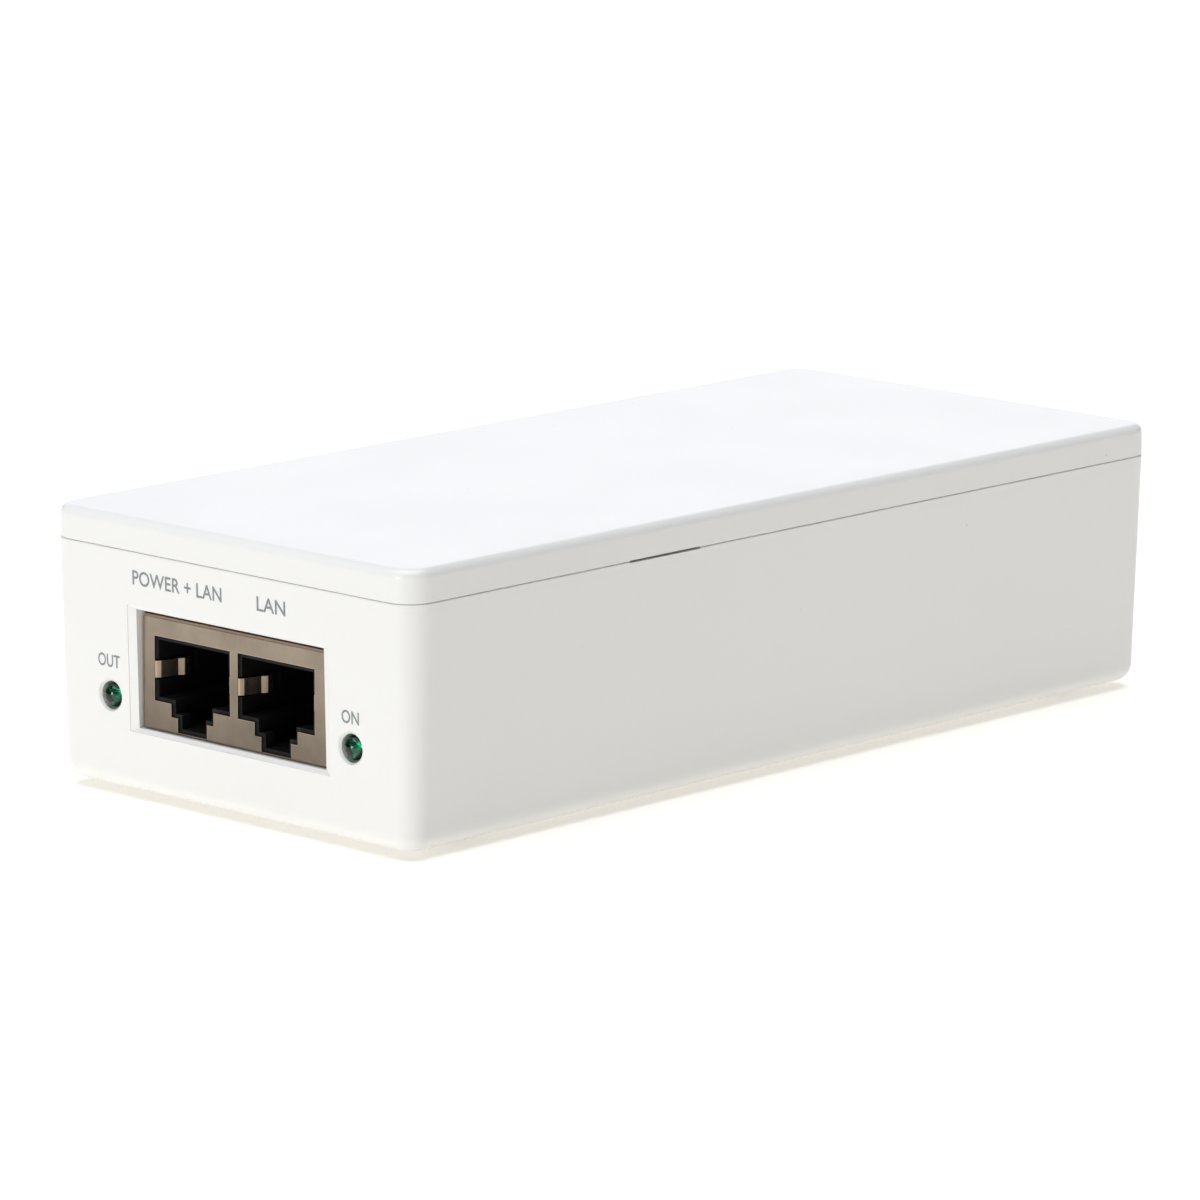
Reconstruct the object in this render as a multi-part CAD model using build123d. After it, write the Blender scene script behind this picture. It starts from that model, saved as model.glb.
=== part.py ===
"""A desktop power-over-ethernet injector: a two-part moulded case with a mains supply inside.

Frame: millimetres, +Z up, origin on the desk under the middle of the case. The two data ports
face -Y, the mains inlet faces +Y and +X is on the right of someone who looks at the ports.
Each function makes one sub-part. main() writes each of them to parts/NAME.step.
"""
from build123d import *
import math
import os

# ---- case: driving dimensions ------------------------------------------------------------
CASE_W = 60.0            # across, at the parting line, where the case is widest
CASE_L = 134.0           # front to back, at the parting line
FOOT_PROUD = 0.8         # how far the rubber feet hold the base off the desk
BASE_H = 29.3            # underside of the base to the parting line
COVER_H = 4.0            # parting line to the top face
WALL = 2.0               # walls, floor and top
CORNER_R = 3.5           # upright corners
BASE_DRAFT = 1.58        # degrees that the base's walls lean in towards the desk
COVER_DRAFT = 1.2        # degrees that the cover's skirt leans in towards the top
BASE_EDGE_R = 2.4        # rounding between the base's walls and its underside
COVER_EDGE_R = 1.1       # rounding between the cover's skirt and its top
SEAM = 0.05              # daylight between the cover and the base's rim
LIP_IN = 1.1             # outer face of the base's lip, in from the case's outside
LIP_H = 1.4
LIP_CLEAR = 0.1          # between that lip and the cover's rebate
EDGE_BREAK = 0.12        # bevel on both edges of the seam, which makes a fine groove round the case

BASE_Z = FOOT_PROUD
PARTING_Z = BASE_Z + BASE_H
TOP_Z = PARTING_Z + COVER_H
FLOOR_Z = BASE_Z + WALL
CEILING_Z = TOP_Z - WALL
HALF_W = CASE_W / 2
HALF_L = CASE_L / 2
LEAN = math.tan(math.radians(BASE_DRAFT))

PRY_Y = -24.3            # middle of the pry slots in the seam, one on each long side
PRY_LENGTH = 12.2
PRY_H = 0.3              # half above the parting line and half below

# ---- twin modular jack -------------------------------------------------------------------
PORT_PITCH = 13.97
PORTS = (-PORT_PITCH / 2, PORT_PITCH / 2)     # power and data out, then data in
SHEET = 0.27             # shield's sheet metal
SHIELD_W = 30.85
SHIELD_DEPTH = 18.5
SHIELD_CORNER_R = 0.7    # its four long edges
SHIELD_BEND_R = 0.34     # the bends round its face
JACK_RECESS = 1.4        # shield's face behind the front of the case at the parting line
SHOULDER_Z = BASE_Z + 11.65                   # floor of a port's cut-out beside its latch slot
CUTOUT_W = 12.7
CUTOUT_H = 7.8
LATCH_WIDE_W, LATCH_WIDE_DEPTH = 7.1, 1.6
LATCH_NARROW_W, LATCH_DEPTH = 4.9, 3.3
HEAD_ROOM = 2.43         # metal above a cut-out
REVEAL = 0.45            # plastic rim that shows all round inside a cut-out
JACK_Y = -HALF_L + JACK_RECESS
JACK_BACK_Y = JACK_Y + SHIELD_DEPTH
SHIELD_Z = SHOULDER_Z - LATCH_DEPTH - SHEET
SHIELD_TOP_Z = SHOULDER_Z + CUTOUT_H + HEAD_ROOM
CAVITY_W = CUTOUT_W - 2 * REVEAL
CAVITY_Z = SHOULDER_Z + REVEAL
CAVITY_TOP_Z = SHOULDER_Z + CUTOUT_H - REVEAL
CAVITY_DEPTH = 14.0
CONTACT_PITCH = 1.02
CONTACTS = 8
WIRE_R = 0.19
TAIL_WALL_Y = JACK_Y + CAVITY_DEPTH + 0.8     # back of the wall behind a plug's nose
TAIL_Y = TAIL_WALL_Y + 0.3                    # contact tails run down just behind it
BLOCK_Y = TAIL_Y + 0.25
ROOF_Z = SHIELD_TOP_Z - SHEET - 0.4            # top of the pocket over the contacts
ROOF_RUN_Z = ROOF_Z - 0.65                     # the contacts' forward run

# ---- board -------------------------------------------------------------------------------
BOARD_TOP_Z = SHIELD_Z
BOARD_T = 1.6
BOARD_Z = BOARD_TOP_Z - BOARD_T
BOARD_W = 52.8
BOARD_L = 126.8
LEAD_END_Z = BOARD_Z - 1.1                    # leads are cropped this far under the board
LEAD_HOLE_EXTRA = 0.12                        # a drilled hole's radius over its lead's

# ---- fixings -----------------------------------------------------------------------------
POST_X = 20.0
POST_YS = (-54.0, 56.0)
POSTS = [(side * POST_X, y) for y in POST_YS for side in (-1, 1)]
POST_R = 4.0
BOSS_R = 3.25
BOSS_END_Z = BOARD_TOP_Z + 0.05
PILOT_R = 1.30
SCREW_R = 1.25
SCREW_CLEAR_R = 1.7
SCREW_HEAD_R, SCREW_HEAD_H = 2.75, 2.0
SCREW_SEAT_Z = BASE_Z + 4.1
SCREW_LENGTH = 12.0
FOOT_R, FOOT_RECESS = 4.0, 0.5

# ---- front panel -------------------------------------------------------------------------
LED_X = 20.0
LED_Z = BASE_Z + 11.35
LED_R = 1.5
LED_HOLE_R = 1.7
LED_BEVEL_R = 2.0
LED_TIP_Y = -HALF_L + 0.05
LED_FLANGE_Y = LED_TIP_Y + 3.7
LED_BEND_Y = LED_TIP_Y + 7.7
OPENING = (-15.6, 15.6, SHIELD_Z - 0.06, SHIELD_TOP_Z + 0.5)     # x0, x1, z0, z1 of the jack opening
OPENING_BEVEL = (1.1, 0.5, 0.5)         # how far it flares at the sides, the sill and the head
OPENING_STEP = 0.1        # fine step round the flare
OPENING_BEVEL_DEPTH = 0.45

# ---- mains inlet -------------------------------------------------------------------------
INLET_W, INLET_H, INLET_DEPTH = 27.1, 19.8, 21.0
INLET_FACE_Y = HALF_L - 0.1
INLET_CLEAR = 0.2
INLET_CAVITY_W, INLET_CAVITY_H, INLET_CAVITY_DEPTH = 24.6, 16.6, 16.5
INLET_CORNER = 5.0       # bevel of the cavity's two upper corners
INLET_Z = BOARD_TOP_Z + INLET_H / 2
PIN_T, PIN_H, PIN_SPREAD, PIN_OFFSET = 2.0, 4.0, 7.0, 2.0
PIN_REACH = 14.5
FLANGE_EXTRA = 1.1
FLANGE_Y = HALF_L - 4.2
FLANGE_T = 1.4

lead_holes = []          # (x, y, radius) of every hole that the parts need in the board
component_leads = []     # tinned leads of the parts that stand on the board


# ---- small helpers -----------------------------------------------------------------------
def block(x0, x1, y0, y1, z0, z1):
    """A box between two corners."""
    return Pos((x0 + x1) / 2, (y0 + y1) / 2, (z0 + z1) / 2) * Box(x1 - x0, y1 - y0, z1 - z0)


def disc(x, y, z0, z1, r):
    """An upright cylinder."""
    return Pos(x, y, (z0 + z1) / 2) * Cylinder(r, z1 - z0)


def rod_y(x, z, y0, y1, r):
    """A cylinder that lies along Y."""
    return Pos(x, (y0 + y1) / 2, z) * Rot(90, 0, 0) * Cylinder(r, y1 - y0)


def rod_x(y, z, x0, x1, r):
    """A cylinder that lies along X."""
    return Pos((x0 + x1) / 2, y, z) * Rot(0, 90, 0) * Cylinder(r, x1 - x0)


def slab(width, length, radius, z0, z1):
    """A rounded rectangle in plan, centred on the origin."""
    return Pos(0, 0, z0) * extrude(RectangleRounded(width, length, radius), z1 - z0)


def group(solids):
    """Separate solids that share one node."""
    return Compound(children=list(solids))


def joined(solids):
    """One solid from several that touch."""
    first, *rest = list(solids)
    for solid in rest:
        first = first + solid
    return first


def pin(x, y, z_top, r=0.35):
    """A round pin from z_top down through the board, which gets a hole for it."""
    lead_holes.append((x, y, r + LEAD_HOLE_EXTRA))
    return disc(x, y, LEAD_END_Z, z_top, r)


def add_leads(points, z_top, r=0.35, body=None):
    """Tinned leads from z_top, or from the surface of a round body, down through the board."""
    for x, y in points:
        tail = pin(x, y, z_top, r)
        component_leads.append(tail - body if body else tail)


def wire(points, r):
    """A round wire along straight runs, its corners bent to twice its own radius."""
    path = FilletPolyline(*points, radius=2.2 * r)
    return sweep(Plane(origin=path @ 0, z_dir=path % 0) * Circle(r), path=path)


def wall_y(z):
    """How far out the base's front or back wall stands at height z."""
    return HALF_L - (PARTING_Z - z) * LEAN


# ---- case --------------------------------------------------------------------------------
def drafted_tub(inset, depth):
    """The base's leaning block, inset from its outside, hung down from the parting line."""
    rim = Plane(origin=(0, 0, PARTING_Z), x_dir=(1, 0, 0), z_dir=(0, 0, -1))
    outline = RectangleRounded(CASE_W - 2 * inset, CASE_L - 2 * inset, CORNER_R - inset)
    return extrude(rim * outline, depth, taper=BASE_DRAFT)


def pry_gap(side, z0, z1):
    """The part of a pry slot between two heights, through the wall on one long side."""
    return block(side * HALF_W - 2.3, side * HALF_W + 2.3, PRY_Y - PRY_LENGTH / 2, PRY_Y + PRY_LENGTH / 2,
                 z0, z1)


def opening_mouth():
    """The mouth of the jack opening: a fine step all round, then a flare in to the opening itself."""
    x0, x1, z0, z1 = OPENING
    sides, sill, head = OPENING_BEVEL
    middle = (z0 + z1) / 2
    draft = math.radians(BASE_DRAFT)
    face = Plane(origin=(0, -wall_y(middle), middle), x_dir=(1, 0, 0),
                 z_dir=(0, -math.cos(draft), -math.sin(draft)))
    outer = Pos(0, (head - sill) / 2) * Rectangle(x1 - x0 + 2 * sides, z1 - z0 + sill + head)
    inner = Rectangle(x1 - x0, z1 - z0)
    step = extrude(face.offset(-OPENING_STEP) * outer, OPENING_STEP + 1)
    flare = loft([face.offset(-OPENING_BEVEL_DEPTH) * inner, face.offset(-OPENING_STEP) * outer])
    return [step, flare]


def base_shell():
    outer = drafted_tub(0, BASE_H)
    outer = fillet(outer.faces().sort_by(Axis.Z)[0].edges(), BASE_EDGE_R)
    outer = chamfer(outer.faces().sort_by(Axis.Z)[-1].edges(), EDGE_BREAK)
    shell = outer - drafted_tub(WALL, BASE_H - WALL)
    lip = slab(CASE_W - 2 * LIP_IN, CASE_L - 2 * LIP_IN, CORNER_R - LIP_IN,
               PARTING_Z - 0.5, PARTING_Z + LIP_H)
    hollow = slab(CASE_W - 2 * WALL, CASE_L - 2 * WALL, CORNER_R - WALL,
                  PARTING_Z - 2, PARTING_Z + 2 * LIP_H)
    shell = shell + (lip - hollow)
    # posts under the board, each with its screw's counterbore and a seat for a foot
    shell = joined([shell] + [disc(x, y, FLOOR_Z - 0.5, BOARD_Z, POST_R) for x, y in POSTS])
    # low rails that carry the board's long edges between the posts
    rail_x = BOARD_W / 2 - 0.4
    for side in (-1, 1):
        for y in (-30.0, 0.0, 30.0):
            shell = shell + block(side * rail_x - 1.2, side * rail_x + 1.2, y - 4, y + 4,
                                  FLOOR_Z - 0.5, BOARD_Z)
    for x, y in POSTS:
        shell = shell - disc(x, y, BASE_Z - 1, SCREW_SEAT_Z, SCREW_HEAD_R + 0.35)
        shell = shell - disc(x, y, SCREW_SEAT_Z - 1, BOARD_Z + 1, SCREW_CLEAR_R)
        shell = shell - disc(x, y, BASE_Z - 1, BASE_Z + FOOT_RECESS, FOOT_R + 0.2)
    # front wall: jack opening and two light holes
    x0, x1, z0, z1 = OPENING
    shell = shell - block(x0, x1, -HALF_L - 1, -HALF_L + 5, z0, z1)
    for cut in opening_mouth():
        shell = shell - cut
    surface_y = -wall_y(LED_Z)
    bevel = LED_BEVEL_R - LED_HOLE_R
    for side in (-1, 1):
        shell = shell - rod_y(side * LED_X, LED_Z, -HALF_L - 1, -HALF_L + 5, LED_HOLE_R)
        cone = Cone(LED_HOLE_R, LED_HOLE_R + 3 * bevel, 3 * bevel)
        shell = shell - Pos(side * LED_X, surface_y - bevel / 2, LED_Z) * Rot(90, 0, 0) * cone
    # back wall: inlet opening
    half = INLET_W / 2 + INLET_CLEAR
    shell = shell - block(-half, half, HALF_L - 5, HALF_L + 1,
                          BOARD_TOP_Z - INLET_CLEAR, BOARD_TOP_Z + INLET_H + INLET_CLEAR)
    # pry slots run on through the lip, and the label has a shallow seat
    for side in (-1, 1):
        shell = shell - pry_gap(side, PARTING_Z - PRY_H / 2, PARTING_Z + 2 * LIP_H)
    return shell - label_shape(LABEL_CLEAR, LABEL_SEAT)


LABEL_W, LABEL_L, LABEL_T = 34.0, 62.0, 0.12
LABEL_CLEAR, LABEL_SEAT = 0.3, 0.15


def label_shape(clear, depth):
    """The label's outline, grown by clear, from the underside up by depth."""
    return slab(LABEL_W + 2 * clear, LABEL_L + 2 * clear, 1.5, BASE_Z, BASE_Z + depth)


def rating_label():
    """A blank sticker in its seat."""
    return Pos(0, 0, LABEL_SEAT - LABEL_T) * label_shape(0, LABEL_T)


def top_cover():
    outline = RectangleRounded(CASE_W, CASE_L, CORNER_R)
    outer = extrude(Plane.XY.offset(PARTING_Z + SEAM) * outline, COVER_H - SEAM, taper=COVER_DRAFT)
    outer = fillet(outer.faces().sort_by(Axis.Z)[-1].edges(), COVER_EDGE_R)
    outer = chamfer(outer.faces().sort_by(Axis.Z)[0].edges(), EDGE_BREAK)
    cover = outer - slab(CASE_W - 2 * WALL, CASE_L - 2 * WALL, CORNER_R - WALL, PARTING_Z - 1, CEILING_Z)
    rebate = LIP_IN - LIP_CLEAR
    cover = cover - slab(CASE_W - 2 * rebate, CASE_L - 2 * rebate, CORNER_R - rebate,
                         PARTING_Z - 1, PARTING_Z + LIP_H + LIP_CLEAR)
    for side in (-1, 1):
        cover = cover - pry_gap(side, PARTING_Z - 1, PARTING_Z + PRY_H / 2)
    fin_reach, fin_t, fin_h = 5.2, 1.0, 6.0
    for x, y in POSTS:
        cover = cover + disc(x, y, BOSS_END_Z, CEILING_Z + 0.5, BOSS_R)
        for half_x, half_y in ((fin_reach, fin_t / 2), (fin_t / 2, fin_reach)):
            cover = cover + block(x - half_x, x + half_x, y - half_y, y + half_y,
                                  CEILING_Z - fin_h, CEILING_Z + 0.5)
        cover = cover - disc(x, y, BOSS_END_Z - 1, SCREW_SEAT_Z + SCREW_LENGTH + 3, PILOT_R)
    # one long rib and two cross ribs stiffen the top
    rib_t, rib_h = 1.2, 1.6
    cover = cover + block(-rib_t / 2, rib_t / 2, -50, 50, CEILING_Z - rib_h, CEILING_Z + 0.5)
    for y in (-28.0, 28.0):
        cover = cover + block(-24, 24, y - rib_t / 2, y + rib_t / 2, CEILING_Z - rib_h, CEILING_Z + 0.5)
    return cover


def rubber_feet():
    def foot(x, y):
        body = disc(x, y, 0, BASE_Z + FOOT_RECESS, FOOT_R)
        return fillet(body.faces().sort_by(Axis.Z)[0].edges(), 0.35)
    return group(foot(x, y) for x, y in POSTS)


def cover_screws():
    """Pan-head screws, up from under the feet and through the board into the cover's bosses."""
    def screw(x, y):
        head = disc(x, y, SCREW_SEAT_Z - SCREW_HEAD_H, SCREW_SEAT_Z, SCREW_HEAD_R)
        head = fillet(head.faces().sort_by(Axis.Z)[0].edges(), 0.8)
        for angle in (0, 90):
            recess_z = SCREW_SEAT_Z - SCREW_HEAD_H + 0.5
            head = head - Pos(x, y, recess_z) * Rot(0, 0, angle) * Box(3.0, 0.7, 1.2)
        shank = disc(x, y, SCREW_SEAT_Z, SCREW_SEAT_Z + SCREW_LENGTH, SCREW_R)
        shank = chamfer(shank.faces().sort_by(Axis.Z)[-1].edges(), 0.9)
        return head + shank
    return group(screw(x, y) for x, y in POSTS)


# ---- twin jack ---------------------------------------------------------------------------
def port_profile(cx, width, height, floor_z, wide_w, wide_depth, narrow_w, depth):
    """The stepped outline of a port in the XZ plane: plug body above, latch slot below."""
    points = [(cx - width / 2, floor_z + height), (cx + width / 2, floor_z + height),
              (cx + width / 2, floor_z), (cx + wide_w / 2, floor_z),
              (cx + wide_w / 2, floor_z - wide_depth), (cx + narrow_w / 2, floor_z - wide_depth),
              (cx + narrow_w / 2, floor_z - depth), (cx - narrow_w / 2, floor_z - depth),
              (cx - narrow_w / 2, floor_z - wide_depth), (cx - wide_w / 2, floor_z - wide_depth),
              (cx - wide_w / 2, floor_z), (cx - width / 2, floor_z)]
    return make_face(Polyline(*points, close=True))


def through_front(face, y0, y1):
    """That outline pushed from y0 to y1."""
    facing_back = Plane(origin=(0, y0, 0), x_dir=(1, 0, 0), z_dir=(0, -1, 0))
    return extrude(facing_back * face, -(y1 - y0))


def shield_finger(cx, side):
    """A spring finger folded in from the side of a port's cut-out to press on the plug's shield."""
    mid_y = JACK_Y + SHEET / 2
    strip_t, strip_h = 0.2, 2.0
    run = [(6.75, 0.0), (6.2, 0.0), (5.95, 0.5), (5.42, 2.75), (4.95, 3.5), (5.45, 4.6)]
    z = SHOULDER_Z + CUTOUT_H - 4.05
    path = FilletPolyline(*[(cx + side * x, mid_y + y, z) for x, y in run], radius=0.2)
    start = Plane(origin=path @ 0, x_dir=(0, 0, 1), z_dir=path % 0)
    return sweep(start * Rectangle(strip_h, strip_t), path=path)


SHIELD_LEGS = [(side, y) for side in (-1, 1) for y in (JACK_Y + 6.0, JACK_Y + 14.0)]
LEG_W = 1.4


def jack_shield():
    half = SHIELD_W / 2
    outer = block(-half, half, JACK_Y, JACK_BACK_Y, SHIELD_Z, SHIELD_TOP_Z)
    outer = fillet(outer.edges().filter_by(Axis.Y), SHIELD_CORNER_R)
    outer = fillet(outer.faces().sort_by(Axis.Y)[0].edges(), SHIELD_BEND_R)
    inner = block(-half + SHEET, half - SHEET, JACK_Y + SHEET, JACK_BACK_Y - SHEET,
                  SHIELD_Z + SHEET, SHIELD_TOP_Z - SHEET)
    shield = outer - inner
    for cx in PORTS:
        cutout = port_profile(cx, CUTOUT_W, CUTOUT_H, SHOULDER_Z, LATCH_WIDE_W, LATCH_WIDE_DEPTH,
                              LATCH_NARROW_W, LATCH_DEPTH)
        shield = shield - through_front(cutout, JACK_Y - 1, JACK_Y + SHEET + 0.1)
    # open underneath, behind a short front strip, and a seam slot along the top
    shield = shield - block(-half + SHEET, half - SHEET, JACK_Y + 4.5, JACK_BACK_Y + 1,
                            SHIELD_Z - 1, SHIELD_Z + 1)
    shield = shield - block(-0.1, 0.1, JACK_Y + 3, JACK_BACK_Y + 1, SHIELD_TOP_Z - 1, SHIELD_TOP_Z + 1)
    for side, y in SHIELD_LEGS:
        x = side * (half - SHEET / 2)
        shield = shield + block(x - SHEET / 2, x + SHEET / 2, y - LEG_W / 2, y + LEG_W / 2,
                                LEAD_END_Z, SHIELD_Z + 1)
        lead_holes.append((x, y, LEG_W / 2 + 0.15))
    for cx in PORTS:
        for side in (-1, 1):
            shield = shield + shield_finger(cx, side)
    return shield


def jack_housing():
    """The black insulator: two plug cavities with latch pockets, and channels for the contacts."""
    gap = SHEET + 0.03
    half = SHIELD_W / 2 - gap
    face_y = JACK_Y + SHEET
    back_y = JACK_BACK_Y - gap
    body = block(-half, half, face_y, back_y, SHIELD_Z + SHEET, SHIELD_TOP_Z - gap)
    for cx in PORTS:
        mouth = port_profile(cx, CAVITY_W, CAVITY_TOP_Z - CAVITY_Z, CAVITY_Z, LATCH_WIDE_W - 2 * REVEAL,
                             LATCH_WIDE_DEPTH, LATCH_NARROW_W - 2 * REVEAL, LATCH_DEPTH)
        body = body - through_front(mouth, JACK_Y - 1, JACK_Y + 9.5)
        body = body - block(cx - CAVITY_W / 2, cx + CAVITY_W / 2, face_y, JACK_Y + CAVITY_DEPTH,
                            CAVITY_Z, CAVITY_TOP_Z)
        # pocket behind the front wall, where the plug's latch springs out
        body = body - block(cx - 3.2, cx + 3.2, JACK_Y + 1.7, JACK_Y + 9.5,
                            CAVITY_Z - LATCH_DEPTH, CAVITY_Z + 1)
        # side slots for the shield's fingers
        for side in (-1, 1):
            x_in, x_out = cx + side * (CAVITY_W / 2 - 0.5), cx + side * (CUTOUT_W / 2 + 0.15)
            body = body - block(min(x_in, x_out), max(x_in, x_out), face_y - 1, JACK_Y + 6.5,
                                SHOULDER_Z + CUTOUT_H - 5.25, SHOULDER_Z + CUTOUT_H - 2.85)
        # roof pocket where the contact springs lie, and the channel for their tails
        reach = CONTACT_PITCH * CONTACTS / 2 + 0.3
        body = body - block(cx - reach, cx + reach, JACK_Y + 1.3, JACK_Y + CAVITY_DEPTH + 2,
                            CAVITY_TOP_Z - 1, ROOF_Z)
        body = body - block(cx - 5.3, cx + 5.3, TAIL_WALL_Y, back_y + 1, SHIELD_Z - 1, ROOF_Z)
    return body


def port_contacts(cx):
    """Eight gold-plated wires: up from the board, forward under the roof, back down into the port."""
    run = [(TAIL_Y, LEAD_END_Z), (TAIL_Y, ROOF_RUN_Z), (JACK_Y + 2.7, ROOF_RUN_Z),
           (JACK_Y + 1.85, CAVITY_TOP_Z + 0.5), (JACK_Y + 11.4, CAVITY_Z + 4.5)]
    wires = []
    for i in range(CONTACTS):
        x = cx + (i - (CONTACTS - 1) / 2) * CONTACT_PITCH
        wires.append(wire([(x, y, z) for y, z in run], WIRE_R))
        lead_holes.append((x, TAIL_Y, WIRE_R + LEAD_HOLE_EXTRA))
    return group(wires)


def contact_carriers():
    """Plastic inserts that hold the contacts: a block behind the tails, a roof strip and a front comb."""
    top, back = ROOF_Z - 0.02, JACK_BACK_Y - SHEET - 0.05
    strip_half = CONTACT_PITCH * CONTACTS / 2 + 0.25
    carriers = []
    for cx in PORTS:
        carrier = block(cx - 5.2, cx + 5.2, BLOCK_Y, back, BOARD_TOP_Z + 0.02, top)
        carrier = carrier + block(cx - strip_half, cx + strip_half, JACK_Y + 1.4, back,
                                  ROOF_RUN_Z + 0.26, top)
        for i in range(CONTACTS + 1):
            x = cx + (i - CONTACTS / 2) * CONTACT_PITCH
            carrier = carrier + block(x - 0.2, x + 0.2, JACK_Y + 1.4, JACK_Y + 5.0,
                                      CAVITY_TOP_Z + 0.1, top)
        carriers.append(carrier)
    return group(carriers)


# ---- lights ------------------------------------------------------------------------------
def status_light(side):
    """A 3 mm lamp: domed tip, barrel and flange."""
    x = side * LED_X
    barrel = rod_y(x, LED_Z, LED_TIP_Y + LED_R, LED_FLANGE_Y + 0.5, LED_R)
    dome = Pos(x, LED_TIP_Y + LED_R, LED_Z) * Sphere(LED_R)
    flange = rod_y(x, LED_Z, LED_FLANGE_Y, LED_FLANGE_Y + 1.0, 1.9)
    return joined([barrel, dome, flange])


def light_leads():
    leads = []
    for side in (-1, 1):
        for offset in (-1.27, 1.27):
            x = side * LED_X + offset
            run = [(x, LED_FLANGE_Y + 1.0, LED_Z), (x, LED_BEND_Y, LED_Z), (x, LED_BEND_Y, LEAD_END_Z)]
            leads.append(wire(run, 0.25))
            lead_holes.append((x, LED_BEND_Y, 0.25 + LEAD_HOLE_EXTRA))
    return group(leads)


def light_spacers():
    return group(block(side * LED_X - 2.1, side * LED_X + 2.1, LED_FLANGE_Y + 1.2, LED_BEND_Y - 0.4,
                       BOARD_TOP_Z, LED_Z - 0.3) for side in (-1, 1))


# ---- mains inlet -------------------------------------------------------------------------
def inlet_outline():
    """The cavity of a C14 inlet in the XZ plane, with its two upper corners bevelled."""
    w, h, c = INLET_CAVITY_W / 2, INLET_CAVITY_H / 2, INLET_CORNER
    points = [(-w, -h), (w, -h), (w, h - c), (w - c, h), (-w + c, h), (-w, h - c)]
    return make_face(Polyline(*points, close=True))


def mains_inlet():
    back_y = INLET_FACE_Y - INLET_DEPTH
    body = block(-INLET_W / 2, INLET_W / 2, back_y, INLET_FACE_Y, BOARD_TOP_Z, BOARD_TOP_Z + INLET_H)
    body = chamfer(body.edges().filter_by(Axis.Y).group_by(Axis.Z)[-1], 2.2)
    body = fillet(body.faces().sort_by(Axis.Y)[-1].edges(), 0.5)
    flange_half = INLET_W / 2 + FLANGE_EXTRA
    body = body + block(-flange_half, flange_half, FLANGE_Y, FLANGE_Y + FLANGE_T,
                        BOARD_TOP_Z, BOARD_TOP_Z + INLET_H + 0.45)
    mouth = Plane(origin=(0, INLET_FACE_Y, INLET_Z), x_dir=(-1, 0, 0), z_dir=(0, 1, 0)) * inlet_outline()
    body = body - extrude(mouth, -INLET_CAVITY_DEPTH)
    for x, z in INLET_PINS:
        body = body - block(x - PIN_T / 2, x + PIN_T / 2, back_y - 1, INLET_FACE_Y - INLET_CAVITY_DEPTH + 1,
                            z - PIN_H / 2, z + PIN_H / 2)
    return body


INLET_PINS = [(-PIN_SPREAD, INLET_Z - PIN_OFFSET), (PIN_SPREAD, INLET_Z - PIN_OFFSET),
              (0.0, INLET_Z + PIN_OFFSET)]


def inlet_pins():
    """Live, neutral and earth blades, each with a tail bent down into the board."""
    back_y = INLET_FACE_Y - INLET_DEPTH
    tip_y = INLET_FACE_Y - INLET_CAVITY_DEPTH + PIN_REACH
    pins = []
    for x, z in INLET_PINS:
        blade = block(x - PIN_T / 2, x + PIN_T / 2, back_y - 1.4, tip_y, z - PIN_H / 2, z + PIN_H / 2)
        blade = chamfer(blade.faces().sort_by(Axis.Y)[-1].edges(), 0.7)
        tail = block(x - 0.4, x + 0.4, back_y - 1.4, back_y - 0.2, LEAD_END_Z, z + PIN_H / 2)
        pins.append(blade + tail)
        lead_holes.append((x, back_y - 0.8, 0.9))
    return group(pins)


# ---- mains side of the supply ------------------------------------------------------------
FUSE_X, FUSE_Y, FUSE_R, FUSE_L = 22.6, 40.0, 2.55, 20.0
FUSE_Z = BOARD_TOP_Z + 4.2
FUSE_CAP = 5.6


def fuse_tube():
    return rod_y(FUSE_X, FUSE_Z, FUSE_Y - FUSE_L / 2 + 1.0, FUSE_Y + FUSE_L / 2 - 1.0, FUSE_R - 0.3)


def fuse_caps():
    caps = []
    for side in (-1, 1):
        end = FUSE_Y + side * FUSE_L / 2
        inner = end - side * FUSE_CAP
        cap = rod_y(FUSE_X, FUSE_Z, min(end, inner), max(end, inner), FUSE_R)
        bore_end = end - side * 1.0
        cap = cap - rod_y(FUSE_X, FUSE_Z, min(bore_end, inner), max(bore_end, inner), FUSE_R - 0.3)
        caps.append(cap)
    return group(caps)


def fuse_clips():
    """Sprung clips that hold the fuse by its caps."""
    clips = []
    for side in (-1, 1):
        y = FUSE_Y + side * (FUSE_L / 2 - 2.8)
        ring = rod_y(FUSE_X, FUSE_Z, y - 2, y + 2, FUSE_R + 0.4)
        ring = ring - rod_y(FUSE_X, FUSE_Z, y - 3, y + 3, FUSE_R)
        ring = ring - block(FUSE_X - 4, FUSE_X + 4, y - 3, y + 3, FUSE_Z + 1.5, FUSE_Z + 5)
        stem = block(FUSE_X - 1.6, FUSE_X + 1.6, y - 2, y + 2, BOARD_TOP_Z, FUSE_Z - FUSE_R - 0.2)
        clips.append(joined([ring, stem, pin(FUSE_X, y, BOARD_TOP_Z + 0.5, 0.5)]))
    return group(clips)


MOV_X, MOV_Y, MOV_R = 17.2, 40.0, 5.0


def surge_varistor():
    z = BOARD_TOP_Z + 2.2 + MOV_R
    body = rod_x(MOV_Y, z, MOV_X - 1.9, MOV_X + 1.9, MOV_R)
    body = fillet(body.edges(), 1.2)
    add_leads([(MOV_X, MOV_Y + offset) for offset in (-2.5, 2.5)], z - 2.0, body=body)
    return body


X_CAP = (-25.0, -16.6, 34.0, 51.5)


def x_capacitor():
    x0, x1, y0, y1 = X_CAP
    add_leads([((x0 + x1) / 2, y) for y in (y0 + 1.4, y1 - 1.4)], BOARD_TOP_Z + 0.4)
    return fillet(block(x0, x1, y0, y1, BOARD_TOP_Z + 0.4, BOARD_TOP_Z + 14.6).edges(), 0.5)


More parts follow.
